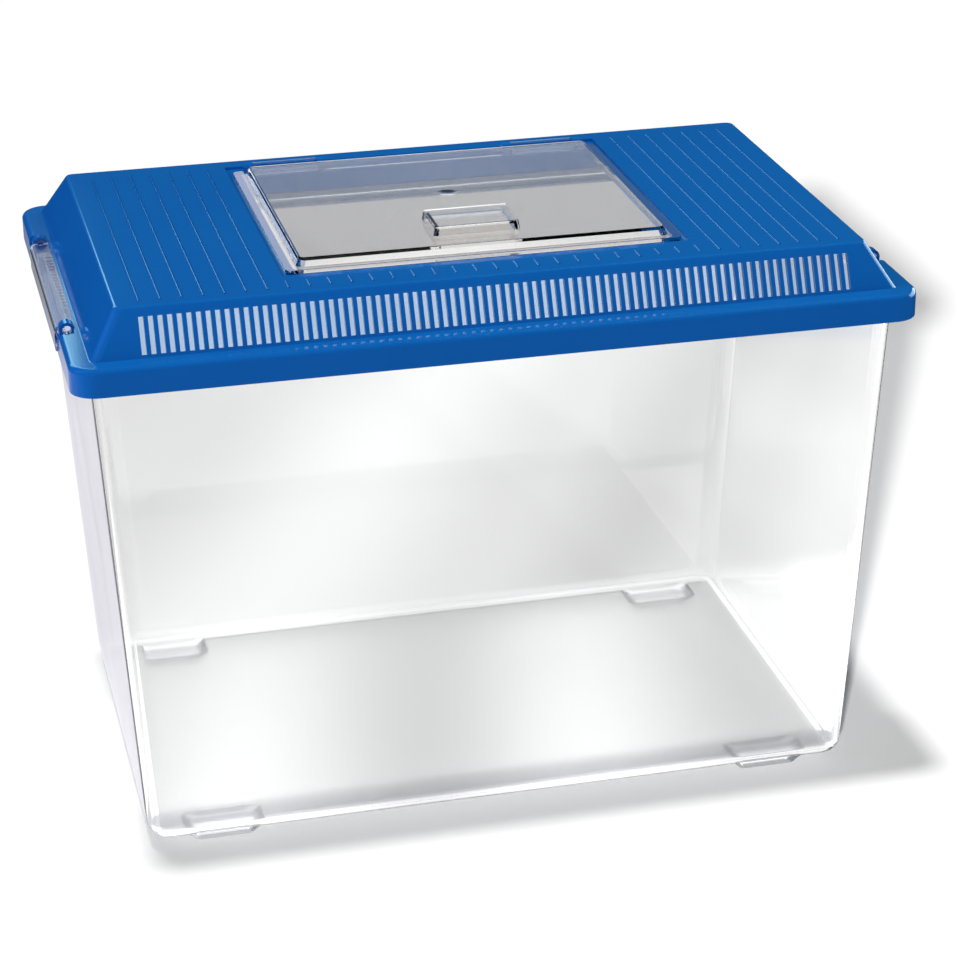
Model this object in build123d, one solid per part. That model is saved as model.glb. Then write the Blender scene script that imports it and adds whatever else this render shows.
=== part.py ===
from build123d import *
from math import atan2, degrees, hypot
import os

# Fish transport box: clear tank, blue ventilated lid, clear feeding hatch, two clear side clips.
# Millimetres. X runs along the length, -Y is the front, +Z is up.
# The origin lies under the middle of the box on the surface it stands on.

# Lid outline
LID_LENGTH = 365.8
LID_DEPTH = 219.5
LID_CORNER_RADIUS = 11.5
LID_WALL = 2.2
SKIRT_HEIGHT = 12.1
LEDGE_EDGE_RADIUS = 2.5

# Sloped hood of the lid
LEDGE_WIDTH_X = 9.1
LEDGE_WIDTH_Y = 8.15
SLOPE_RUN_X = 11.8
SLOPE_RUN_Y = 9.5
HOOD_HEIGHT = 19.5
HOOD_RIDGE_RADIUS = 4.0
HOOD_EDGE_RADIUS = 1.6
HOOD_ROOT_RADIUS = 0.8

# Vent slots in the front slope
VENT_PITCH = 3.94
VENT_WIDTH = 2.1
VENT_LENGTH = 15.6
VENT_END_MARGIN = 10.0
VENT_FOOT_MARGIN = 1.7

# Raised lines on the flat top
LINE_PITCH = 8.905
LINE_WIDTH = 0.9
LINE_HEIGHT = 0.4
LINE_SIDE_MARGIN = 9.0
LINE_FRONT_MARGIN = 5.6
LINE_BACK_MARGIN = 10.1
LINE_GAP_TO_RECESS = 7.0

# Tank
TANK_HEIGHT = 232.4
TANK_WALL = 2.2
TANK_CORNER_RADIUS = 10.0
TANK_FLOOR_RADIUS = 8.0
TANK_DRAFT_X = 13.2
TANK_DRAFT_Y = 2.8
FOOT_HEIGHT = 4.7
FLANGE_WIDTH = 5.4
FLANGE_THICKNESS = 2.0
FLANGE_DROP = 4.9
FLANGE_CLEARANCE = 0.7

# Feet of the tank
FOOT_SPACING = 254.4
FOOT_LENGTH = 27.0
FOOT_END_SLOPE = 4.5
FOOT_DEPTH = 14.0
FOOT_SIDE_SLOPE = 1.5
FOOT_INSET = 8.2
FOOT_CORNER_RADIUS = 3.0

# Feeding hatch and its opening
OPENING_LENGTH = 167.0
OPENING_RADIUS = 3.0
FRONT_STRIP_WIDTH = 20.8
BACK_STRIP_WIDTH = 9.8
RECESS_DEPTH = 1.2
RECESS_GAP = 2.7
RECESS_SIDE_GAP = 2.2
HATCH_OVERLAP = 2.1
HATCH_SIDE_OVERLAP = 3.4
HATCH_FLANGE_THICKNESS = 2.0
HATCH_FLANGE_WIDTH = 3.6
HATCH_SIDE_FLANGE_WIDTH = 4.9
HATCH_WALL = 1.8
HATCH_CORNER_RADIUS = 3.0
TRAY_HEIGHT = 3.6
TRAY_DRAFT = 1.7
TRAY_EDGE_RADIUS = 0.6

# Finger grip of the hatch
GRIP_LENGTH = 38.6
GRIP_DEPTH = 26.0
GRIP_HEIGHT = 4.0
GRIP_DRAFT = 0.8
GRIP_SETBACK = 30.6
GRIP_CORNER_RADIUS = 1.5
GRIP_EDGE_RADIUS = 0.5

# Shallow dimple where the plastic enters the hatch
GATE_RADIUS = 4.2
GATE_DEPTH = 0.4
GATE_SETBACK = 4.5

# Hinge of the hatch
HINGE_SETBACK = 4.7
HINGE_RISE = 2.3
HINGE_CENTRE_X = 61.8
LUG_SPAN = 34.4
LUG_THICKNESS = 4.0
LUG_RADIUS = 2.3
LUG_SIDE_GAP = 0.3
BARREL_RADIUS = 2.0
TONGUE_THICKNESS = 1.8
HATCH_PIN_RADIUS = 1.2
PIN_CLEARANCE = 0.05

# Side clips and their seats in the lid
CLIP_LENGTH = 107.2
CLIP_SIDE_GAP = 0.4
CLIP_PLATE = 2.2
CLIP_WALL = 2.0
CLIP_PROUD = 0.8
CLIP_LIP_GAP = 0.4
CLIP_SHOULDER_RADIUS = 3.2
CLIP_LOWER_RADIUS = 0.8
CLIP_AXIS_INSET = 4.1
CLIP_AXIS_DROP = 0.6
CLIP_PIN_RADIUS = 1.9
HOOK_GAP = 0.5
HOOK_THICKNESS = 2.1
HOOK_REACH = 2.0
HOOK_LEAD = 0.9
LIP_OVERHANG = 0.6
KNUCKLE_RADIUS = 3.3
KNUCKLE_WIDTH = 5.0
POCKET_LENGTH = 11.0
SHELF_CLEARANCE = 0.8

# Cross ribs on the clips
GRIP_RIB_PITCH = 4.05
GRIP_RIB_WIDTH = 1.2
GRIP_RIB_HEIGHT = 0.5
GRIP_RIB_LENGTH = 3.2
GRIP_RIB_END_MARGIN = 20.0

# How deep one body is sunk into another before they are joined
SINK = 0.6

# Heights
FLOOR_Z = FOOT_HEIGHT
LEDGE_Z = TANK_HEIGHT + LID_WALL
SKIRT_Z = LEDGE_Z - SKIRT_HEIGHT
TOP_Z = LEDGE_Z + HOOD_HEIGHT
FLANGE_TOP_Z = TANK_HEIGHT - FLANGE_DROP
FLANGE_Z = FLANGE_TOP_Z - FLANGE_THICKNESS
RECESS_Z = TOP_Z - RECESS_DEPTH
HATCH_FLANGE_Z = RECESS_Z + HATCH_FLANGE_THICKNESS
TRAY_Z = HATCH_FLANGE_Z + TRAY_HEIGHT
SHELF_Z = FLANGE_TOP_Z + SHELF_CLEARANCE + LID_WALL

# Half sizes in plan
SKIRT_INNER_X = LID_LENGTH / 2 - LID_WALL
SKIRT_INNER_Y = LID_DEPTH / 2 - LID_WALL
FLANGE_X = SKIRT_INNER_X - FLANGE_CLEARANCE
FLANGE_Y = SKIRT_INNER_Y - FLANGE_CLEARANCE
RIM_X = FLANGE_X - FLANGE_WIDTH
RIM_Y = FLANGE_Y - FLANGE_WIDTH + FLANGE_CLEARANCE
BASE_X = RIM_X - TANK_DRAFT_X
BASE_Y = RIM_Y - TANK_DRAFT_Y
HOOD_FOOT_X = LID_LENGTH / 2 - LEDGE_WIDTH_X
HOOD_FOOT_Y = LID_DEPTH / 2 - LEDGE_WIDTH_Y
TOP_X = HOOD_FOOT_X - SLOPE_RUN_X
TOP_Y = HOOD_FOOT_Y - SLOPE_RUN_Y
LIP_X = RIM_X + LIP_OVERHANG

# Plan of the recess, the hatch in it and the opening below the hatch
RECESS_FRONT_Y = -TOP_Y + FRONT_STRIP_WIDTH
RECESS_BACK_Y = TOP_Y - BACK_STRIP_WIDTH
HINGE_Y = RECESS_BACK_Y - RECESS_GAP - LUG_RADIUS
HINGE_Z = RECESS_Z + HINGE_RISE
FLANGE_FRONT_Y = RECESS_FRONT_Y + RECESS_GAP
FLANGE_BACK_Y = HINGE_Y - HINGE_SETBACK
OPENING_CENTRE_Y = (FLANGE_FRONT_Y + FLANGE_BACK_Y) / 2
OPENING_DEPTH = FLANGE_BACK_Y - FLANGE_FRONT_Y - 2 * HATCH_OVERLAP
FLANGE_HALF_X = OPENING_LENGTH / 2 + HATCH_SIDE_OVERLAP
RECESS_HALF_X = FLANGE_HALF_X + RECESS_SIDE_GAP
GRIP_CENTRE_Y = FLANGE_FRONT_Y + GRIP_SETBACK
GATE_CENTRE_Y = OPENING_CENTRE_Y + GATE_SETBACK

# Plan of the clips
NOTCH_Y = CLIP_LENGTH / 2 + CLIP_SIDE_GAP
KNUCKLE_END_Y = NOTCH_Y + KNUCKLE_WIDTH
POCKET_END_Y = NOTCH_Y + POCKET_LENGTH
CLIP_AXIS_X = LID_LENGTH / 2 - CLIP_AXIS_INSET
CLIP_AXIS_Z = LEDGE_Z - CLIP_AXIS_DROP
CLIP_INNER_X = LIP_X + CLIP_LIP_GAP
CLIP_OUTER_X = LID_LENGTH / 2 + CLIP_PROUD
HOOK_TOP_Z = FLANGE_Z - HOOK_GAP
HOOK_Z = HOOK_TOP_Z - HOOK_THICKNESS


def box(x_low, x_high, y_low, y_high, z_low, z_high):
    """Plain block between two corners."""
    block = Box(x_high - x_low, y_high - y_low, z_high - z_low)
    return Pos((x_low + x_high) / 2, (y_low + y_high) / 2, (z_low + z_high) / 2) * block


def plan(half_x, half_y, radius, z, centre_y=0):
    """Rounded rectangle in plan at one height."""
    return Pos(0, centre_y, z) * RectangleRounded(2 * half_x, 2 * half_y, radius)


def prism(half_x, half_y, radius, z_low, z_high, centre_y=0):
    """Upright block with rounded corners."""
    return extrude(plan(half_x, half_y, radius, z_low, centre_y), z_high - z_low)


def taper_profile(low_half, low_z, high_half, high_z):
    """Trapezium that is symmetric about the upright axis."""
    return make_face(
        Polyline(
            (-low_half, low_z),
            (low_half, low_z),
            (high_half, high_z),
            (-high_half, high_z),
            close=True,
        )
    )


def tapered_block(low, high, radius, centre_x=0, centre_y=0):
    """Block with sloping sides and rounded upright edges; low and high are half x, half y, z."""
    low_x, low_y, low_z = low
    high_x, high_y, high_z = high
    ends = Plane.XZ * taper_profile(low_x, low_z, high_x, high_z)
    sides = Plane.YZ * taper_profile(low_y, low_z, high_y, high_z)
    block = extrude(ends, max(low_y, high_y), both=True)
    block = block & extrude(sides, max(low_x, high_x), both=True)
    upright = block.edges().filter_by(lambda edge: abs(edge.tangent_at(0.5).Z) > 0.3)
    return Pos(centre_x, centre_y, 0) * fillet(upright, radius)


def both_sides(shape):
    """The shape on the right and its mirror image on the left."""
    return [shape, mirror(shape, Plane.YZ)]


def edges_at(shape, z):
    """Edges that lie wholly at one height."""
    return shape.edges().filter_by_position(Axis.Z, z, z, inclusive=(True, True))


def x_cylinder(radius, x_low, x_high, y, z):
    """Cylinder along X."""
    rod = Rot(0, 90, 0) * Cylinder(radius, x_high - x_low)
    return Pos((x_low + x_high) / 2, y, z) * rod


def y_cylinder(radius, y_low, y_high, x, z):
    """Cylinder along Y."""
    rod = Rot(90, 0, 0) * Cylinder(radius, y_high - y_low)
    return Pos(x, (y_low + y_high) / 2, z) * rod


def tank_half(z):
    """Outer half length and half depth of the drafted tank at one height."""
    share = (z - FLOOR_Z) / (TANK_HEIGHT - FLOOR_Z)
    return BASE_X + TANK_DRAFT_X * share, BASE_Y + TANK_DRAFT_Y * share


def tank_block(z_low, z_high, inset, floor_radius):
    """Drafted block of the tank, inset from its outside, with a rounded floor edge."""
    low_x, low_y = tank_half(z_low)
    high_x, high_y = tank_half(z_high)
    low = (low_x - inset, low_y - inset, z_low)
    high = (high_x - inset, high_y - inset, z_high)
    block = tapered_block(low, high, TANK_CORNER_RADIUS - inset)
    return fillet(edges_at(block, z_low), floor_radius)


def tank_foot():
    """One solid foot at front right: a block with sloping ends that reaches into the floor."""
    centre_x = FOOT_SPACING / 2
    centre_y = -(BASE_Y - FOOT_INSET - FOOT_DEPTH / 2)
    half_x, half_y = FOOT_LENGTH / 2, FOOT_DEPTH / 2
    top_z = FLOOR_Z + TANK_WALL / 2
    rise = top_z / FOOT_HEIGHT
    low = (half_x, half_y, 0)
    high = (half_x + FOOT_END_SLOPE * rise, half_y + FOOT_SIDE_SLOPE * rise, top_z)
    return tapered_block(low, high, FOOT_CORNER_RADIUS, centre_x, centre_y)


def in_four_corners(shape):
    """The shape and its mirror images across both middle planes."""
    front = both_sides(shape)
    return front + [mirror(one, Plane.XZ) for one in front]


def tank():
    """Clear tank: drafted walls, rounded floor, solid feet and a flange below the rim."""
    body = tank_block(FLOOR_Z, TANK_HEIGHT, 0, TANK_FLOOR_RADIUS)
    body += in_four_corners(tank_foot())
    flange_radius = TANK_CORNER_RADIUS + FLANGE_WIDTH / 2
    body += prism(FLANGE_X, FLANGE_Y, flange_radius, FLANGE_Z, FLANGE_TOP_Z)
    inner_radius = TANK_FLOOR_RADIUS - TANK_WALL
    return body - tank_block(FLOOR_Z + TANK_WALL, TANK_HEIGHT, TANK_WALL, inner_radius)


def hood_half(z):
    """Outer half length and half depth of the sloped hood at one height."""
    share = (z - LEDGE_Z) / HOOD_HEIGHT
    return HOOD_FOOT_X - SLOPE_RUN_X * share, HOOD_FOOT_Y - SLOPE_RUN_Y * share


def lid_outside():
    """Skirted brim with the sloped hood on it, edges rounded."""
    brim = prism(LID_LENGTH / 2, LID_DEPTH / 2, LID_CORNER_RADIUS, SKIRT_Z, LEDGE_Z)
    brim = fillet(edges_at(brim, LEDGE_Z), LEDGE_EDGE_RADIUS)
    foot = (HOOD_FOOT_X, HOOD_FOOT_Y, LEDGE_Z)
    hood = tapered_block(foot, (TOP_X, TOP_Y, TOP_Z), HOOD_RIDGE_RADIUS)
    hood = fillet(edges_at(hood, TOP_Z), HOOD_EDGE_RADIUS)
    shell = brim + hood
    root = edges_at(shell, LEDGE_Z).filter_by(lambda edge: abs(edge.center().X) < HOOD_FOOT_X + SINK)
    root = root.filter_by(lambda edge: abs(edge.center().Y) < HOOD_FOOT_Y + SINK)
    return fillet(root, HOOD_ROOT_RADIUS)


def lid_inside():
    """Hollow of the lid, less the thicker patch below the recess."""
    radius = LID_CORNER_RADIUS - LID_WALL
    hollow = prism(SKIRT_INNER_X, SKIRT_INNER_Y, radius, SKIRT_Z - SINK, TANK_HEIGHT)
    inset = LID_WALL * hypot(SLOPE_RUN_Y, HOOD_HEIGHT) / HOOD_HEIGHT
    ceiling_z = TOP_Z - LID_WALL
    low_x, low_y = hood_half(TANK_HEIGHT - SINK)
    high_x, high_y = hood_half(ceiling_z)
    low = (low_x - inset, low_y - inset, TANK_HEIGHT - SINK)
    high = (high_x - inset, high_y - inset, ceiling_z)
    hollow += tapered_block(low, high, HOOD_RIDGE_RADIUS - LID_WALL)
    patch_x = RECESS_HALF_X + LID_WALL
    patch_front = RECESS_FRONT_Y - LID_WALL
    patch_back = RECESS_BACK_Y + LID_WALL
    patch_z = RECESS_Z - LID_WALL
    return hollow - box(-patch_x, patch_x, patch_front, patch_back, patch_z, TOP_Z)


def vent_slots():
    """Row of upright slots through the front slope."""
    lean = degrees(atan2(HOOD_HEIGHT, SLOPE_RUN_Y))
    slope = hypot(HOOD_HEIGHT, SLOPE_RUN_Y)
    share = (VENT_FOOT_MARGIN + VENT_LENGTH / 2) / slope
    middle_y = -(HOOD_FOOT_Y - SLOPE_RUN_Y * share)
    middle_z = LEDGE_Z + HOOD_HEIGHT * share
    count = int((2 * TOP_X - 2 * VENT_END_MARGIN) / VENT_PITCH) + 1
    cutter = Rot(lean, 0, 0) * Box(VENT_WIDTH, VENT_LENGTH, 4 * LID_WALL)
    first = -(count - 1) / 2 * VENT_PITCH
    return [Pos(first + i * VENT_PITCH, middle_y, middle_z) * cutter for i in range(count)]


def top_lines():
    """Thin raised lines with rounded backs: long beside the recess, short in front of it."""
    radius = (LINE_WIDTH**2 / 4 + LINE_HEIGHT**2) / (2 * LINE_HEIGHT)
    centre_z = TOP_Z + LINE_HEIGHT - radius
    front_y = -TOP_Y + LINE_FRONT_MARGIN
    back_y = TOP_Y - LINE_BACK_MARGIN
    stub_y = RECESS_FRONT_Y - LINE_GAP_TO_RECESS
    reach = int((TOP_X - LINE_SIDE_MARGIN) / LINE_PITCH)
    lines = []
    for step in range(-reach, reach + 1):
        x = step * LINE_PITCH
        beside = abs(x) > RECESS_HALF_X + LINE_PITCH / 2
        end_y = back_y if beside else stub_y
        lines.append(y_cylinder(radius, front_y, end_y, x, centre_z))
    return lines


def hinge_lugs():
    """Four lugs behind the opening that hold the hatch's pins, two on each side."""
    lugs = []
    for offset in (-LUG_SPAN / 2, LUG_SPAN / 2):
        low_x = HINGE_CENTRE_X + offset - LUG_THICKNESS / 2
        high_x = low_x + LUG_THICKNESS
        low_y, high_y = HINGE_Y - LUG_RADIUS, HINGE_Y + LUG_RADIUS
        lug = box(low_x, high_x, low_y, high_y, RECESS_Z - SINK, HINGE_Z)
        lug += x_cylinder(LUG_RADIUS, low_x, high_x, HINGE_Y, HINGE_Z)
        bore_radius = HATCH_PIN_RADIUS + PIN_CLEARANCE
        lugs += both_sides(lug - x_cylinder(bore_radius, low_x, high_x, HINGE_Y, HINGE_Z))
    return lugs


def clip_seats():
    """Right-hand block that carries the lowered shelves at both ends of the clip."""
    low_y, high_y = NOTCH_Y, POCKET_END_Y + LID_WALL
    underside_z = SHELF_Z - LID_WALL
    seat = box(LIP_X, LID_LENGTH / 2 - LID_WALL / 2, low_y, high_y, underside_z, LEDGE_Z - SINK)
    return [seat, mirror(seat, Plane.XZ)]


def clip_cuts():
    """Right-hand notch for the clip and the pockets around its knuckles."""
    outer_x = LID_LENGTH / 2 + SINK
    above_z = LEDGE_Z + SINK
    pocket_x = LIP_X + LID_WALL / 2
    notch = box(LIP_X, outer_x, -NOTCH_Y, NOTCH_Y, SKIRT_Z - SINK, above_z)
    pocket = box(pocket_x, outer_x, NOTCH_Y - SINK, POCKET_END_Y, SHELF_Z, above_z)
    return [notch, pocket, mirror(pocket, Plane.XZ)]


def knuckles():
    """Right-hand pair of rings that hold the pins of the clip."""
    radius = KNUCKLE_RADIUS
    low_x, high_x = CLIP_AXIS_X - radius, CLIP_AXIS_X + radius
    ring = box(low_x, high_x, NOTCH_Y, KNUCKLE_END_Y, SHELF_Z - SINK, CLIP_AXIS_Z)
    ring += y_cylinder(radius, NOTCH_Y, KNUCKLE_END_Y, CLIP_AXIS_X, CLIP_AXIS_Z)
    bore_radius = CLIP_PIN_RADIUS + PIN_CLEARANCE
    ring -= y_cylinder(bore_radius, NOTCH_Y, KNUCKLE_END_Y, CLIP_AXIS_X, CLIP_AXIS_Z)
    return [ring, mirror(ring, Plane.XZ)]


def lid():
    """Blue lid: skirt, ledge, slotted hood, recess with its opening, lugs and knuckles."""
    body = lid_outside() - lid_inside()
    for seat in clip_seats():
        body += both_sides(seat)
    for cut in clip_cuts():
        body -= both_sides(cut)
    for ring in knuckles():
        body += both_sides(ring)
    body += top_lines()
    body -= vent_slots()
    half_x = RECESS_HALF_X
    body -= box(-half_x, half_x, RECESS_FRONT_Y, RECESS_BACK_Y, RECESS_Z, TOP_Z + SINK)
    opening_z = RECESS_Z - LID_WALL - SINK
    body -= prism(
        OPENING_LENGTH / 2, OPENING_DEPTH / 2, OPENING_RADIUS, opening_z, TOP_Z, OPENING_CENTRE_Y
    )
    return body + hinge_lugs()


def hatch_tray():
    """Raised tray of the hatch with its grip, seen from outside, and the hollow below them."""
    base_x = FLANGE_HALF_X - HATCH_SIDE_FLANGE_WIDTH
    base_y = OPENING_DEPTH / 2 + HATCH_OVERLAP - HATCH_FLANGE_WIDTH
    radius = HATCH_CORNER_RADIUS
    low = (base_x, base_y, HATCH_FLANGE_Z - SINK)
    high = (base_x - TRAY_DRAFT, base_y - TRAY_DRAFT, TRAY_Z)
    tray = tapered_block(low, high, radius, centre_y=OPENING_CENTRE_Y)
    tray = fillet(edges_at(tray, TRAY_Z), TRAY_EDGE_RADIUS)
    inner_x, inner_y = base_x - HATCH_WALL, base_y - HATCH_WALL
    low = (inner_x, inner_y, RECESS_Z - SINK)
    high = (inner_x - TRAY_DRAFT / 2, inner_y - TRAY_DRAFT / 2, TRAY_Z - HATCH_WALL)
    hollow = tapered_block(low, high, radius - HATCH_WALL / 2, centre_y=OPENING_CENTRE_Y)
    return tray, hollow


def hatch_grip():
    """Raised grip block and its hollow."""
    half_x, half_y = GRIP_LENGTH / 2, GRIP_DEPTH / 2
    top_z = TRAY_Z + GRIP_HEIGHT
    low = (half_x, half_y, TRAY_Z - SINK)
    high = (half_x - GRIP_DRAFT, half_y - GRIP_DRAFT, top_z)
    grip = tapered_block(low, high, GRIP_CORNER_RADIUS, centre_y=GRIP_CENTRE_Y)
    grip = fillet(edges_at(grip, top_z), GRIP_EDGE_RADIUS)
    inner_x, inner_y = half_x - HATCH_WALL, half_y - HATCH_WALL
    low = (inner_x, inner_y, TRAY_Z - HATCH_WALL - SINK)
    high = (inner_x - GRIP_DRAFT, inner_y - GRIP_DRAFT, top_z - HATCH_WALL)
    hollow = tapered_block(low, high, GRIP_CORNER_RADIUS / 2, centre_y=GRIP_CENTRE_Y)
    return grip, hollow


def gate_dimple():
    """Ball that leaves a shallow round dimple in the tray's top; its poles lie level."""
    ball_radius = (GATE_RADIUS**2 + GATE_DEPTH**2) / (2 * GATE_DEPTH)
    ball = Rot(90, 0, 0) * Sphere(ball_radius)
    return Pos(0, GATE_CENTRE_Y, TRAY_Z - GATE_DEPTH + ball_radius) * ball


def hatch_tongues():
    """Two tongues behind the flange, each with a barrel and two pins."""
    half = LUG_SPAN / 2 - LUG_THICKNESS / 2 - LUG_SIDE_GAP
    low_x, high_x = HINGE_CENTRE_X - half, HINGE_CENTRE_X + half
    top_z = HATCH_FLANGE_Z
    low_y = FLANGE_BACK_Y - SINK
    tongue = box(low_x, high_x, low_y, HINGE_Y, top_z - TONGUE_THICKNESS, top_z)
    tongue += x_cylinder(BARREL_RADIUS, low_x, high_x, HINGE_Y, HINGE_Z)
    reach = half + LUG_SIDE_GAP + LUG_THICKNESS
    pin_low, pin_high = HINGE_CENTRE_X - reach, HINGE_CENTRE_X + reach
    tongue += x_cylinder(HATCH_PIN_RADIUS, pin_low, pin_high, HINGE_Y, HINGE_Z)
    return both_sides(tongue)


def feeding_hatch():
    """Clear hatch: flange that rests in the recess, raised tray, grip, tongues and pins."""
    half_y = OPENING_DEPTH / 2 + HATCH_OVERLAP
    radius = HATCH_CORNER_RADIUS
    body = prism(FLANGE_HALF_X, half_y, radius, RECESS_Z, HATCH_FLANGE_Z, OPENING_CENTRE_Y)
    tray, tray_hollow = hatch_tray()
    grip, grip_hollow = hatch_grip()
    body = body + tray + grip - tray_hollow - grip_hollow - gate_dimple()
    return body + hatch_tongues()


def clip_section():
    """Outline of the clip: grip plate, rounded shoulder, wall and hook."""
    low_z = LEDGE_Z - CLIP_PLATE
    wall_x = CLIP_OUTER_X - CLIP_WALL
    hook_x = FLANGE_X - HOOK_REACH
    outline = Polyline(
        (CLIP_INNER_X, low_z),
        (CLIP_INNER_X, LEDGE_Z),
        (CLIP_OUTER_X, LEDGE_Z),
        (CLIP_OUTER_X, HOOK_Z),
        (hook_x + HOOK_LEAD, HOOK_Z),
        (hook_x, HOOK_Z + HOOK_LEAD),
        (hook_x, HOOK_TOP_Z),
        (wall_x, HOOK_TOP_Z),
        (wall_x, low_z),
        close=True,
    )
    face = make_face(outline)
    corners = face.vertices()
    outer = corners.filter_by(lambda corner: abs(corner.X - CLIP_OUTER_X) < SINK)
    shoulder = outer.sort_by(Axis.Y)[-1]
    face = fillet(shoulder, CLIP_SHOULDER_RADIUS)
    lower = face.vertices().filter_by(lambda corner: abs(corner.X - CLIP_OUTER_X) < SINK)
    face = fillet(lower.sort_by(Axis.Y)[0], CLIP_LOWER_RADIUS)
    inner = face.vertices().filter_by(lambda corner: abs(corner.X - wall_x) < SINK / 2)
    return fillet(inner.sort_by(Axis.Y)[-1], CLIP_SHOULDER_RADIUS - CLIP_WALL)


def clip():
    """Right-hand clip with its cross ribs and two hinge pins."""
    half = CLIP_LENGTH / 2
    body = extrude(Plane.XZ * clip_section(), half, both=True)
    for low_y in (-KNUCKLE_END_Y, half - SINK):
        high_y = low_y + KNUCKLE_END_Y - half + SINK
        body += y_cylinder(CLIP_PIN_RADIUS, low_y, high_y, CLIP_AXIS_X, CLIP_AXIS_Z)
    reach = int((half - GRIP_RIB_END_MARGIN) / GRIP_RIB_PITCH)
    high_x = CLIP_INNER_X + GRIP_RIB_LENGTH
    for step in range(-reach, reach + 1):
        low_y = step * GRIP_RIB_PITCH - GRIP_RIB_WIDTH / 2
        high_y = low_y + GRIP_RIB_WIDTH
        body += box(CLIP_INNER_X, high_x, low_y, high_y, LEDGE_Z - SINK, LEDGE_Z + GRIP_RIB_HEIGHT)
    return body


right_clip = clip()

nodes = {
    "tank": tank(),
    "lid": lid(),
    "feeding_hatch": feeding_hatch(),
    "left_clip": mirror(right_clip, Plane.YZ),
    "right_clip": right_clip,
}

os.makedirs("parts", exist_ok=True)
for name, shape in nodes.items():
    export_step(shape, f"parts/{name}.step")
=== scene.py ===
from math import pi, radians

import bmesh
import bpy
from bpy.props import FloatProperty, FloatVectorProperty, PointerProperty
from mathutils import Euler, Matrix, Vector

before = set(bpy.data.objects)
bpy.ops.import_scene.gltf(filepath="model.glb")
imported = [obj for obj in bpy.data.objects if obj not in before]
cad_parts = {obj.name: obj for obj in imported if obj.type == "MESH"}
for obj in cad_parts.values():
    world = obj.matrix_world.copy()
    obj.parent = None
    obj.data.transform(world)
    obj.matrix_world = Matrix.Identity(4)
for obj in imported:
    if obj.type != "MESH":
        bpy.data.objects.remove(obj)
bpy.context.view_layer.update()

bl_info = {
    "name": "Fish Transport Box Looks",
    "version": (1, 0, 0),
    "blender": (4, 5, 0),
    "location": "3D View > Sidebar > Fish Box",
    "description": "Dresses the moulded parts of a fish transport box and sets its studio",
    "category": "Object",
}

MM = 0.001
WHITE = (1, 1, 1, 1)

# Refraction of the blue plastic and of clear polystyrene
LID_IOR = 1.55
CLEAR_IOR = 1.59
# Make of the noise for the lid's colour clouds, for its grain and for the waves of clear walls
FLOW_NOISE = {"Detail": 3.0, "Roughness": 0.55}
GRAIN_NOISE = {"Detail": 2.0, "Roughness": 0.6}
WAVE_NOISE = {"Detail": 1.0}
# Colour sockets of a Mix node: its two inputs and its output
MIX_FIRST, MIX_SECOND, MIX_RESULT = 6, 7, 2

# Painted shade and reflection: colour bands of the floor that only clear plastic shows, in place
# of the soft grey shading on the tank's walls. Place along a way in metres, then colour
SHADE_BANDS_BEHIND = (
    (-0.33, "#DAD8D7"),
    (-0.24, "#DEDDDC"),
    (-0.128, "#FBFAF9"),
    (-0.03, "#E3E2E1"),
    (0.036, "#CECDCC"),
    (0.09, "#E2E1E0"),
    (0.15, "#FBFAF9"),
)
# Painted shade bands of the floor under the box, seen through the tank's floor
SHADE_BANDS_BELOW = (
    (-0.165, "#E2E1E0"),
    (-0.10, "#FEFDFC"),
    (-0.013, "#CECDCC"),
    (0.064, "#FEFDFC"),
    (0.143, "#D3D2D1"),
    (0.172, "#D3D2D1"),
    (0.190, "#FEFDFC"),
)
# Painted light and shade for the strip further back, which shows through the vent slots and the
# hatch in place of the lit and shaded inside of the box
SHADE_BANDS_FAR = (
    (0.50, "#95AFCD"),
    (0.60, "#95AFCD"),
    (0.63, "#ACA6A3"),
    (0.88, "#B1ABA8"),
    (1.40, "#F2F2F1"),
)
# Painted reflection: the floor as glossy faces mirror it, pale near a point behind the left end
# and dark further off; distance from that point, then colour
PAINTED_REFLECTION_BANDS = (
    (0.20, "#E8E6F0"),
    (0.45, "#9A9CA2"),
    (0.80, "#202228"),
    (1.20, "#0A0B0D"),
)
# Painted shade: a grey strip under the front wall, which the rounded floor edge shows as the grey
# band along the bottom of the tank
SHADE_BANDS_FRONT = (
    (0.064, "#FFFFFF"),
    (0.068, "#B4B4B9"),
    (0.080, "#B4B4B9"),
    (0.086, "#EDEDF1"),
)
# Ways along the floor: to the back, to the front, and to the right as the camera sees it
BACKWARD = (0, 1, 0)
FORWARD = (0, -1, 0)
SIDEWAYS = (0.971, -0.238, 0)
# Each set of painted shade bands with the way along which it changes
FLOOR_BANDS = {
    "behind": ((0.875, -0.485, 0), SHADE_BANDS_BEHIND),
    "below": ((0.977, -0.215, 0), SHADE_BANDS_BELOW),
    "far": (BACKWARD, SHADE_BANDS_FAR),
    "front": (FORWARD, SHADE_BANDS_FRONT),
}
# Between which distances in metres one tone gives way to the next. Those towards the back count
# from a line one metre in front of the middle of the box, to both sides of that line.
FRONT_LINE_SHIFT = (0, 1, 0)
BACK_WALL_CHANGE = (1.07, 1.13)
FAR_STRIP_CHANGE = (1.47, 1.50)
# Where the floor turns to the painted dark side shade that gives clear walls their dark edges
FLOOR_SIDE_CHANGE = (0.6, 1.2)
# The same for the sky, as a share of the way towards it, where it turns to that painted dark shade
SKY_SIDE_CHANGE = (0.35, 0.8)

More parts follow.
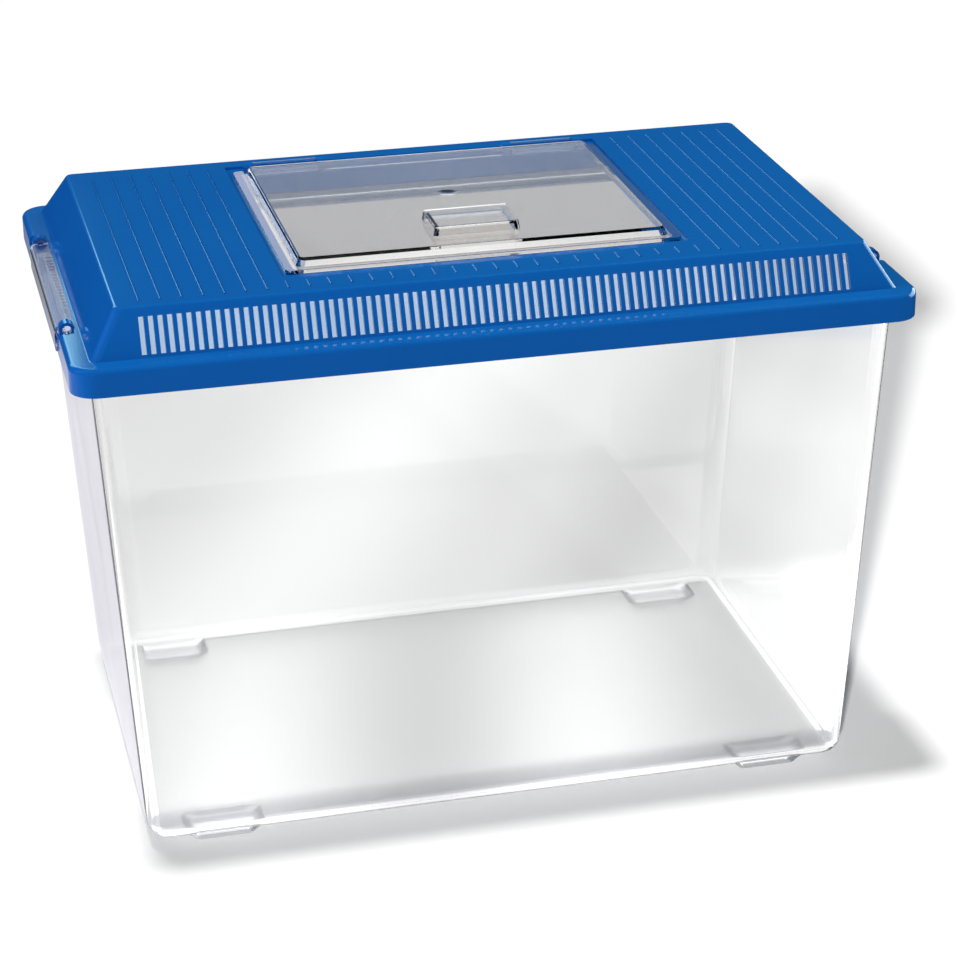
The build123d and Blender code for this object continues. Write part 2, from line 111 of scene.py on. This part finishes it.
# Softboxes light the part, and cards only show in its shine: name, what they are for, place,
# point aimed at, width and height in metres, brightness, colour
SOFTBOXES = (
    ("top_softbox", "object", (0.7, 0.1, 1.5), (0, 0, 0.2), (1.0, 1.0), 6.1, (1, 1.1, 0.84)),
    ("front_softbox", "object", (-0.6, -1.8, 1.2), (0, 0, 0.15), (0.9, 0.9), 4.7, (0.92, 0.8, 1)),
    ("left_softbox", "object", (-1.6, -0.1, 1.1), (0, 0, 0.2), (0.9, 0.9), 9.5, (0.92, 0.88, 1)),
)
CARDS = (
    ("plateau_card", "lid", (-0.665, 2.0, 1.5), (-0.665, 0, 1.5), (1.33, 1.1), 2.6, (0.5, 1, 1)),
    ("right_card", "lid", (1.2, 0.5, 0.48), (0.0, 0.5, 0.48), (1.55, 0.76), 4.2, (0.7, 0.92, 1)),
    ("trim_card", "trim", (0.3, 2.0, 1.2), (0.3, 0, 1.2), (4.0, 2.2), 0.32, (0.55, 0.8, 1.15)),
    ("bevel_card", "hatch", (-0.6, 1.2, 0.3), (-0.1, 0, 0.3), (0.9, 0.5), 3.0, (1, 1, 1)),
    ("flange_card", "hatch", (0.2, 2.2, 1.0), (0.2, 2.2, 0), (0.142, 0.8), 1.4, (1, 0.95, 0.95)),
)
# Distant lamps: name, what they light, way towards the lamp, apparent size in degrees, and
# brightness of a white floor under it
DISTANT_LAMPS = (
    ("left_shadow_lamp", "floor", (-0.390, -0.853, 0.347), 2.2, 0.53),
    ("top_shadow_lamp", "floor", (-0.1, 0.02, 1.0), 4.0, 0.53),
    ("soft_dome", "object", (0.0, 0.0, 1.0), 180.0, 0.2),
)
# A distant lamp shines alike from any place
DISTANT_LAMP_PLACE = (0, 0, 1)

SENSOR_WIDTH = 36
# Enough for rays that cross several clear walls
BOUNCES = {"max_bounces": 24, "glossy_bounces": 12, "transmission_bounces": 24}


def linear(hex_colour):
    """Linear red, green, blue and alpha of an sRGB hex colour."""
    values = [int(hex_colour[i : i + 2], 16) / 255 for i in (1, 3, 5)]
    curve = [v / 12.92 if v <= 0.04045 else ((v + 0.055) / 1.055) ** 2.4 for v in values]
    return (*curve, 1.0)


def add_node(tree, kind, inputs=(), **settings):
    """Add a node. Inputs pair a socket's name or number with a value, a socket or a node."""
    node = tree.nodes.new(kind)
    for name, value in settings.items():
        setattr(node, name, value)
    for name, value in dict(inputs).items():
        if isinstance(value, bpy.types.Node):
            value = value.outputs[0]
        if isinstance(value, bpy.types.NodeSocket):
            tree.links.new(value, node.inputs[name])
        else:
            node.inputs[name].default_value = value
    return node


def colour_property(name, description, hex_colour):
    """Colour property with an sRGB hex default."""
    return FloatVectorProperty(
        name=name,
        description=description,
        subtype="COLOR",
        size=4,
        min=0,
        max=1,
        default=linear(hex_colour),
    )


def length_property(name, description, millimetres):
    """Length property with a default in millimetres."""
    return FloatProperty(
        name=name, description=description, unit="LENGTH", default=millimetres * MM
    )


def number_property(name, description, number):
    """Plain number that is never negative."""
    return FloatProperty(name=name, description=description, min=0, default=number)


class LidFinish(bpy.types.PropertyGroup):
    """Finish of the blue lid."""

    colour: colour_property("Colour", "Blue of the moulded plastic", "#0A57A8")
    flow_colour: colour_property(
        "Flow colour", "Paler blue where the plastic flowed last", "#0C5EAB"
    )
    flow_size: length_property("Flow size", "Width of the faint colour clouds", 55)
    grain_size: length_property("Grain size", "Width of the fine surface grain", 1.2)
    grain_height: length_property("Grain height", "Height of the fine surface grain", 0.006)
    roughness: number_property("Roughness", "Surface roughness", 0.09)


class ClearFinish(bpy.types.PropertyGroup):
    """Finish of the clear tank, hatch and clips."""

    tank_colour: colour_property("Tank colour", "Tint of the clear tank", "#F9FAFA")
    hatch_colour: colour_property("Hatch colour", "Tint of the clear hatch", "#F1F1F0")
    clip_colour: colour_property("Clip colour", "Tint of the clear clips", "#D6DFF3")
    tank_shadow: colour_property(
        "Tank shadow", "Light that a surface of the tank lets through", "#C8CACC"
    )
    trim_shadow: colour_property(
        "Trim shadow", "Light that a surface of the trim lets through", "#F4F4F4"
    )
    wave_size: length_property("Wave size", "Width of the faint waves of the moulded walls", 70)
    wave_height: length_property("Wave height", "Height of those waves", 0.02)
    roughness: number_property("Roughness", "Surface roughness", 0.02)
    floor_roughness: number_property("Floor roughness", "Roughness of the inner floor", 0.55)
    inner_floor: length_property("Inner floor", "Height of the inner floor", 6.9)
    inner_floor_band: length_property("Inner floor band", "Play around that height", 0.3)


class StudioSettings(bpy.types.PropertyGroup):
    """Camera, floor and lights."""

    camera_place: FloatVectorProperty(
        name="Camera place",
        description="Where the camera stands",
        subtype="TRANSLATION",
        default=(-0.2697, -1.1661, 0.6514),
    )
    camera_turn: FloatVectorProperty(
        name="Camera turn",
        description="Camera angles in X, Y and Z",
        subtype="EULER",
        default=(1.152977, 0.006564, -0.240368),
    )
    focal_length: FloatProperty(
        name="Focal length", description="Camera focal length in millimetres", default=105.24
    )
    floor_size: length_property("Floor size", "Side of the pale floor", 12000)
    floor_colour: colour_property("Floor colour", "Pale grey-white of the floor", "#FAFAFA")
    # Brightness of the painted shade bands through clear walls and through the matt inner floor
    plastic_gain: number_property("Plastic gain", "Makes up for what clear walls take away", 1.16)
    frost_gain: number_property(
        "Frost gain", "Makes up for what the matt inner floor takes away", 1.78
    )
    sky_colour: colour_property("Sky colour", "Room as clear plastic shows it", "#F4F4F4")
    # Painted shade far off to both sides, seen through plastic, which gives clear walls dark edges
    side_shade_colour: colour_property("Side colour", "The same far off to both sides", "#5A5C62")
    # Middle of the painted reflection on the floor, seen only in glossy faces
    mirror_middle: FloatVectorProperty(
        name="Mirror middle",
        description="Where the floor is palest in glossy plastic",
        subtype="TRANSLATION",
        default=(-0.25, 0.2, 0.0),
    )
    floor_gap: length_property("Floor gap", "Hair of air under the feet", 0.2)
    mirror_level: number_property(
        "Mirror level", "Brightness of the dark room in glossy plastic", 0.015
    )


def new_material(name):
    """Empty node material and its tree."""
    material = bpy.data.materials.new(name)
    material.use_nodes = True
    material.node_tree.nodes.clear()
    return material, material.node_tree


def in_place(tree):
    """Object coordinates, which stay on the piece."""
    return add_node(tree, "ShaderNodeTexCoord").outputs["Object"]


def dress(node_name, material):
    """Give a carried-over part its material in every slot."""
    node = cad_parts[node_name]
    for slot in node.material_slots:
        slot.material = material


def moulded_blue(finish):
    """Moulded blue plastic: opaque, glossy, with faint clouds where it flowed."""
    material, tree = new_material("moulded_blue_polystyrene")
    place = in_place(tree)
    clouds = add_node(
        tree,
        "ShaderNodeTexNoise",
        {"Vector": place, "Scale": 1 / finish.flow_size, **FLOW_NOISE},
    )
    grain = add_node(
        tree,
        "ShaderNodeTexNoise",
        {"Vector": place, "Scale": 1 / finish.grain_size, **GRAIN_NOISE},
    )
    colour = add_node(
        tree,
        "ShaderNodeMix",
        {0: clouds.outputs["Fac"], MIX_FIRST: finish.colour, MIX_SECOND: finish.flow_colour},
        data_type="RGBA",
    )
    bump = add_node(
        tree,
        "ShaderNodeBump",
        {"Height": grain.outputs["Fac"], "Distance": finish.grain_height, "Strength": 1.0},
    )
    surface = add_node(
        tree,
        "ShaderNodeBsdfPrincipled",
        {
            "Base Color": colour.outputs[MIX_RESULT],
            "Roughness": finish.roughness,
            "IOR": LID_IOR,
            "Normal": bump.outputs["Normal"],
        },
    )
    add_node(tree, "ShaderNodeOutputMaterial", {"Surface": surface.outputs["BSDF"]})
    return material


def frosted_floor(tree, place, finish):
    """Roughness that is higher at the height of the tank's inner floor, which looks matt."""
    height = add_node(tree, "ShaderNodeSeparateXYZ", {0: place}).outputs["Z"]
    on_floor = add_node(
        tree,
        "ShaderNodeMath",
        {0: height, 1: finish.inner_floor, 2: finish.inner_floor_band},
        operation="COMPARE",
    )
    extra = finish.floor_roughness - finish.roughness
    return add_node(
        tree,
        "ShaderNodeMath",
        {0: on_floor, 1: extra, 2: finish.roughness},
        operation="MULTIPLY_ADD",
    )


def clear_plastic(name, colour, shadow, finish, frosted=False):
    """Clear moulded polystyrene: its high IOR gives bright and dark edges, its shadow is pale."""
    material, tree = new_material(name)
    place = in_place(tree)
    waves = add_node(
        tree,
        "ShaderNodeTexNoise",
        {"Vector": place, "Scale": 1 / finish.wave_size, **WAVE_NOISE},
    )
    bump = add_node(
        tree,
        "ShaderNodeBump",
        {"Height": waves.outputs["Fac"], "Distance": finish.wave_height, "Strength": 1.0},
    )
    surface = add_node(
        tree,
        "ShaderNodeBsdfPrincipled",
        {
            "Base Color": colour,
            "Roughness": frosted_floor(tree, place, finish) if frosted else finish.roughness,
            "IOR": CLEAR_IOR,
            "Transmission Weight": 1.0,
            "Normal": bump.outputs["Normal"],
        },
    )
    passing = add_node(tree, "ShaderNodeBsdfTransparent", {"Color": shadow})
    path = add_node(tree, "ShaderNodeLightPath")
    mix = add_node(
        tree,
        "ShaderNodeMixShader",
        {0: path.outputs["Is Shadow Ray"], 1: surface.outputs["BSDF"], 2: passing.outputs["BSDF"]},
    )
    add_node(tree, "ShaderNodeOutputMaterial", {"Surface": mix.outputs["Shader"]})
    return material


class FISHBOX_OT_dress_lid(bpy.types.Operator):
    """Give the lid its blue plastic"""

    bl_idname = "fishbox.dress_lid"
    bl_label = "Dress lid"

    def execute(self, context):
        dress("lid", moulded_blue(context.scene.fishbox_lid))
        return {"FINISHED"}


class FISHBOX_OT_dress_tank(bpy.types.Operator):
    """Give the tank its clear plastic"""

    bl_idname = "fishbox.dress_tank"
    bl_label = "Dress tank"

    def execute(self, context):
        finish = context.scene.fishbox_clear
        material = clear_plastic(
            "clear_polystyrene_tank", finish.tank_colour, finish.tank_shadow, finish, frosted=True
        )
        dress("tank", material)
        return {"FINISHED"}


class FISHBOX_OT_dress_hatch(bpy.types.Operator):
    """Give the feeding hatch its clear plastic"""

    bl_idname = "fishbox.dress_hatch"
    bl_label = "Dress hatch"

    def execute(self, context):
        finish = context.scene.fishbox_clear
        material = clear_plastic(
            "clear_polystyrene_hatch", finish.hatch_colour, finish.trim_shadow, finish
        )
        dress("feeding_hatch", material)
        return {"FINISHED"}


class FISHBOX_OT_dress_clips(bpy.types.Operator):
    """Give both side clips their clear plastic"""

    bl_idname = "fishbox.dress_clips"
    bl_label = "Dress clips"

    def execute(self, context):
        finish = context.scene.fishbox_clear
        material = clear_plastic(
            "clear_polystyrene_clip", finish.clip_colour, finish.trim_shadow, finish
        )
        dress("left_clip", material)
        dress("right_clip", material)
        return {"FINISHED"}


def ray_kinds(tree):
    """Outputs of the light path, and a node that is 1 for rays mirrored by a glossy face."""
    path = add_node(tree, "ShaderNodeLightPath").outputs
    mirrored = add_node(
        tree,
        "ShaderNodeMath",
        {0: path["Is Glossy Ray"], 1: path["Is Transmission Ray"]},
        operation="SUBTRACT",
        use_clamp=True,
    )
    return path, mirrored


def bands(tree, across, stops):
    """Soft colour bands across a line; the stops give place and colour."""
    low, high = stops[0][0], stops[-1][0]
    share = add_node(
        tree, "ShaderNodeMapRange", {"Value": across, "From Min": low, "From Max": high}
    )
    ramp = add_node(tree, "ShaderNodeValToRGB", {"Fac": share})
    ramp.color_ramp.interpolation = "EASE"
    points = ramp.color_ramp.elements
    while len(points) < len(stops):
        points.new(0.5)
    for point, (where, colour) in zip(points, stops):
        point.position = (where - low) / (high - low)
        point.color = linear(colour)
    return ramp


def changing_over(tree, place, way, change, first, second):
    """First colour, then the second, changing between two distances to either side along a way."""
    low, high = change
    along = add_node(tree, "ShaderNodeVectorMath", {0: place, 1: way}, operation="DOT_PRODUCT")
    distance = add_node(tree, "ShaderNodeMath", {0: along.outputs["Value"]}, operation="ABSOLUTE")
    share = add_node(
        tree,
        "ShaderNodeMapRange",
        {"Value": distance, "From Min": low, "From Max": high},
        interpolation_type="SMOOTHSTEP",
    )
    colours = {0: share, MIX_FIRST: first, MIX_SECOND: second}
    return add_node(tree, "ShaderNodeMix", colours, data_type="RGBA").outputs[MIX_RESULT]


def painted_shade_bands(tree, place, settings):
    """Painted shade: grey bands of the floor that the clear tank shows, darker far off to both
    sides.
    """
    tones = {}
    for name, (way, stops) in FLOOR_BANDS.items():
        along = add_node(tree, "ShaderNodeVectorMath", {0: place, 1: way}, operation="DOT_PRODUCT")
        tones[name] = bands(tree, along.outputs["Value"], stops)
    inside = add_node(
        tree,
        "ShaderNodeMix",
        {0: 1.0, MIX_FIRST: tones["below"], MIX_SECOND: tones["front"]},
        data_type="RGBA",
        blend_type="MULTIPLY",
    )
    inside = add_node(
        tree,
        "ShaderNodeVectorMath",
        {0: inside.outputs[MIX_RESULT], "Scale": settings.frost_gain},
        operation="SCALE",
    )
    shifted = add_node(
        tree, "ShaderNodeVectorMath", {0: place, 1: FRONT_LINE_SHIFT}, operation="ADD"
    )
    near = changing_over(tree, shifted, BACKWARD, BACK_WALL_CHANGE, inside, tones["behind"])
    seen = changing_over(tree, shifted, BACKWARD, FAR_STRIP_CHANGE, near, tones["far"])
    return changing_over(tree, place, SIDEWAYS, FLOOR_SIDE_CHANGE, seen, settings.side_shade_colour)


def make_floor(settings):
    """Pale floor that takes the shadow, with painted shade and painted reflection that plastic
    shows.
    """
    mesh = bpy.data.meshes.new("studio_floor")
    form = bmesh.new()
    bmesh.ops.create_grid(form, x_segments=1, y_segments=1, size=settings.floor_size / 2)
    form.to_mesh(mesh)
    form.free()
    floor = bpy.data.objects.new("studio_floor", mesh)
    floor.location.z = -settings.floor_gap
    bpy.context.scene.collection.objects.link(floor)
    material, tree = new_material("painted_studio_floor")
    path, mirrored = ray_kinds(tree)
    place = in_place(tree)
    matt = add_node(tree, "ShaderNodeBsdfDiffuse", {"Color": settings.floor_colour})
    # Painted shade bands, seen only by rays through clear plastic
    tones = add_node(
        tree,
        "ShaderNodeEmission",
        {"Color": painted_shade_bands(tree, place, settings), "Strength": settings.plastic_gain},
    )
    seen = add_node(
        tree, "ShaderNodeMixShader", {0: path["Is Transmission Ray"], 1: matt, 2: tones}
    )
    # Painted reflection, seen only in glossy faces
    away = add_node(
        tree, "ShaderNodeVectorMath", {0: place, 1: settings.mirror_middle}, operation="DISTANCE"
    )
    shine = add_node(
        tree, "ShaderNodeEmission", {"Color": bands(tree, away.outputs["Value"], PAINTED_REFLECTION_BANDS)}
    )
    seen = add_node(tree, "ShaderNodeMixShader", {0: mirrored, 1: seen, 2: shine})
    add_node(tree, "ShaderNodeOutputMaterial", {"Surface": seen})
    mesh.materials.append(material)
    return floor


def make_world(settings):
    """Room that is white behind the object, dim in its shine and pale through its plastic."""
    world = bpy.data.worlds.new("studio_world")
    bpy.context.scene.world = world
    world.use_nodes = True
    tree = world.node_tree
    tree.nodes.clear()
    path, mirrored = ray_kinds(tree)
    way = add_node(tree, "ShaderNodeTexCoord").outputs["Generated"]
    # Pale sky through plastic, turning to painted dark shade far off to both sides
    sky = changing_over(
        tree, way, SIDEWAYS, SKY_SIDE_CHANGE, settings.sky_colour, settings.side_shade_colour
    )
    shown = add_node(tree, "ShaderNodeBackground", {"Strength": 0.0})
    for share, colour, strength in (
        (mirrored, WHITE, settings.mirror_level),
        (path["Is Transmission Ray"], sky, 1.0),
        (path["Is Camera Ray"], WHITE, 1.0),
    ):
        light = add_node(tree, "ShaderNodeBackground", {"Color": colour, "Strength": strength})
        shown = add_node(tree, "ShaderNodeMixShader", {0: share, 1: shown, 2: light})
    add_node(tree, "ShaderNodeOutputWorld", {"Surface": shown})


def hang_lamp(lamp, place, way, group, mirrored_only=False):
    """Put a lamp in place, facing against the way towards it, for one group of objects."""
    holder = bpy.data.objects.new(lamp.name, lamp)
    bpy.context.scene.collection.objects.link(holder)
    holder.location = place
    holder.rotation_euler = Vector(way).to_track_quat("Z", "Y").to_euler()
    holder.visible_camera = False
    holder.visible_transmission = False
    holder.visible_glossy = mirrored_only
    holder.visible_diffuse = not mirrored_only
    holder.light_linking.receiver_collection = group


def make_area_lamp(name, use, place, aim, size, brightness, colour, groups, mirrored_only):
    """Rectangular lamp that lights one group, or only shows in its reflections."""
    width, height = size
    lamp = bpy.data.lights.new(name, "AREA")
    lamp.shape = "RECTANGLE"
    lamp.size = width
    lamp.size_y = height
    lamp.color = colour
    lamp.energy = brightness * pi * width * height
    hang_lamp(lamp, place, Vector(place) - Vector(aim), groups[use], mirrored_only)


def make_distant_lamp(name, use, way, degrees, brightness, groups):
    """Far lamp of even light whose brightness is that of a white floor under it."""
    lamp = bpy.data.lights.new(name, "SUN")
    lamp.angle = radians(degrees)
    lamp.energy = brightness * pi / Vector(way).normalized().z
    hang_lamp(lamp, DISTANT_LAMP_PLACE, way, groups[use])


def lit_groups(floor):
    """Collections of what each lamp may light."""
    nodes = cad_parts
    groups = {}
    for use, members in {
        "object": nodes.values(),
        "lid": [nodes["lid"]],
        "hatch": [nodes["feeding_hatch"]],
        "trim": [nodes["feeding_hatch"], nodes["left_clip"], nodes["right_clip"]],
        "floor": [floor],
    }.items():
        groups[use] = bpy.data.collections.new(use + "_lit")
        for member in members:
            groups[use].objects.link(member)
    return groups


def make_camera(settings):
    """Camera at the viewing angle of the picture."""
    lens = bpy.data.cameras.new("main_camera")
    lens.lens = settings.focal_length
    lens.sensor_width = SENSOR_WIDTH
    camera = bpy.data.objects.new("main_camera", lens)
    bpy.context.scene.collection.objects.link(camera)
    camera.location = settings.camera_place
    camera.rotation_euler = Euler(settings.camera_turn)
    bpy.context.scene.camera = camera


class FISHBOX_OT_set_studio(bpy.types.Operator):
    """Make the floor, lights and camera"""

    bl_idname = "fishbox.set_studio"
    bl_label = "Set studio"

    def execute(self, context):
        settings = context.scene.fishbox_studio
        groups = lit_groups(make_floor(settings))
        make_world(settings)
        for softbox in SOFTBOXES:
            make_area_lamp(*softbox, groups, mirrored_only=False)
        for card in CARDS:
            make_area_lamp(*card, groups, mirrored_only=True)
        for lamp in DISTANT_LAMPS:
            make_distant_lamp(*lamp, groups)
        make_camera(settings)
        context.scene.view_settings.view_transform = "Standard"
        for name, number in BOUNCES.items():
            setattr(context.scene.cycles, name, number)
        return {"FINISHED"}


class FISHBOX_PT_sidebar(bpy.types.Panel):
    """Buttons for each piece and the studio"""

    bl_idname = "FISHBOX_PT_sidebar"
    bl_label = "Fish transport box"
    bl_space_type = "VIEW_3D"
    bl_region_type = "UI"
    bl_category = "Fish Box"

    def draw(self, context):
        for operator in STEPS:
            self.layout.operator(operator.bl_idname)


GROUPS = {
    "fishbox_lid": LidFinish,
    "fishbox_clear": ClearFinish,
    "fishbox_studio": StudioSettings,
}
STEPS = (
    FISHBOX_OT_dress_lid,
    FISHBOX_OT_dress_tank,
    FISHBOX_OT_dress_hatch,
    FISHBOX_OT_dress_clips,
    FISHBOX_OT_set_studio,
)


def register():
    for name, group in GROUPS.items():
        bpy.utils.register_class(group)
        setattr(bpy.types.Scene, name, PointerProperty(type=group))
    for operator in STEPS:
        bpy.utils.register_class(operator)
    bpy.utils.register_class(FISHBOX_PT_sidebar)


def unregister():
    bpy.utils.unregister_class(FISHBOX_PT_sidebar)
    for operator in reversed(STEPS):
        bpy.utils.unregister_class(operator)
    for name, group in GROUPS.items():
        delattr(bpy.types.Scene, name)
        bpy.utils.unregister_class(group)


def main():
    """Register everything, dress the pieces and set the studio."""
    register()
    for operator in STEPS:
        family, action = operator.bl_idname.split(".")
        getattr(getattr(bpy.ops, family), action)()


if __name__ == "__main__":
    main()
